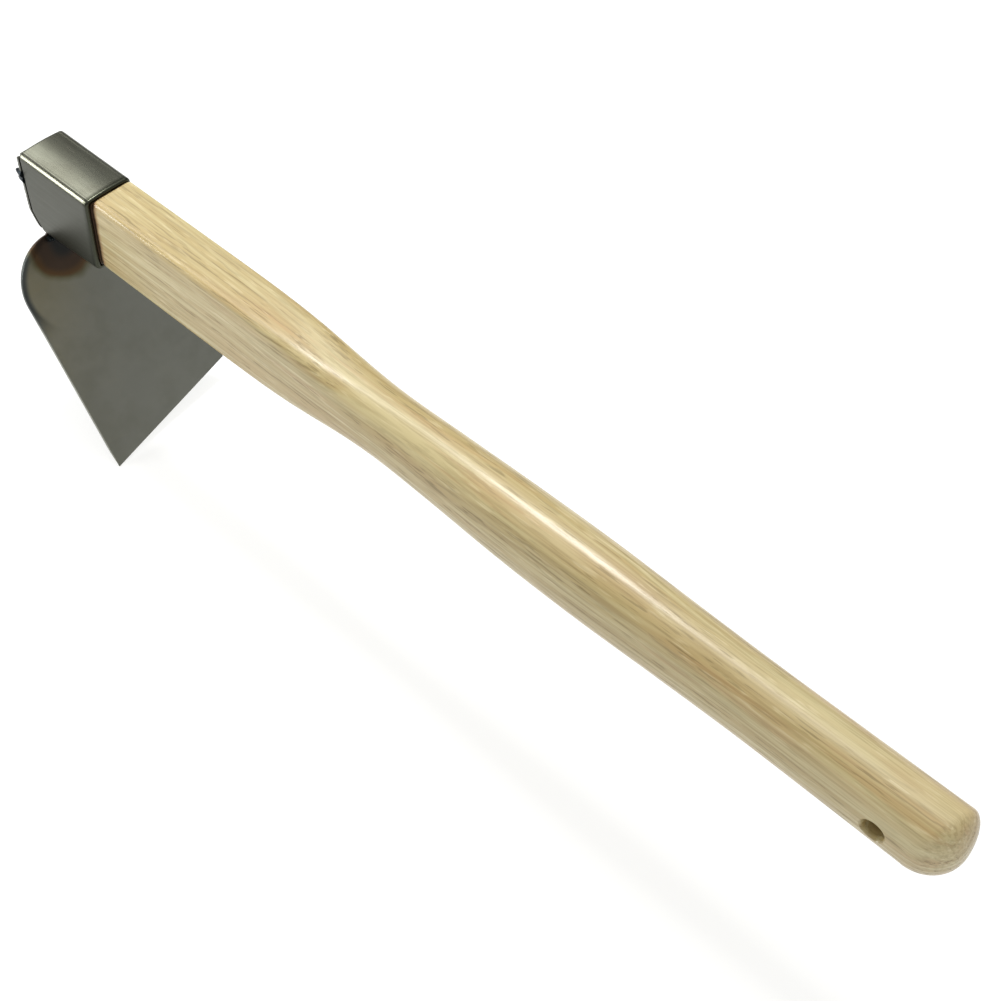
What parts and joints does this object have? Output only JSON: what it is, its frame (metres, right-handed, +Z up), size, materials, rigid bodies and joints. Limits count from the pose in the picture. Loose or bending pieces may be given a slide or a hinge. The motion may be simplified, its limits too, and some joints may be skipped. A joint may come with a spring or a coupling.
{
  "type": "hand adze",
  "caption": "Short hoe-type adze: a leaning sheet-steel blade welded to a folded sleeve, on a one-handed oval wooden handle with a hanging hole.",
  "frame": {"origin": "middle of the flat top face of the sleeve", "axes": "+X along the handle from the head to the butt, +Z up out of the sleeve's top face, +Y across the tool"},
  "size_m": [0.507, 0.0761, 0.1367],
  "materials": {
    "oak": "clear lacquer over pale oak",
    "wedge_wood": "plain sawn hardwood",
    "steel": "satin stainless sheet, heat-tinted by the welds",
    "weld": "dark rippled weld bead"
  },
  "bodies": {
    "root": {"handle": "oak", "wedge": "wedge_wood", "socket_sleeve": "steel", "blade": "steel", "weld_left": "weld", "weld_right": "weld", "weld_under": "weld", "seam_weld": "weld"}
  },
  "joints": []
}
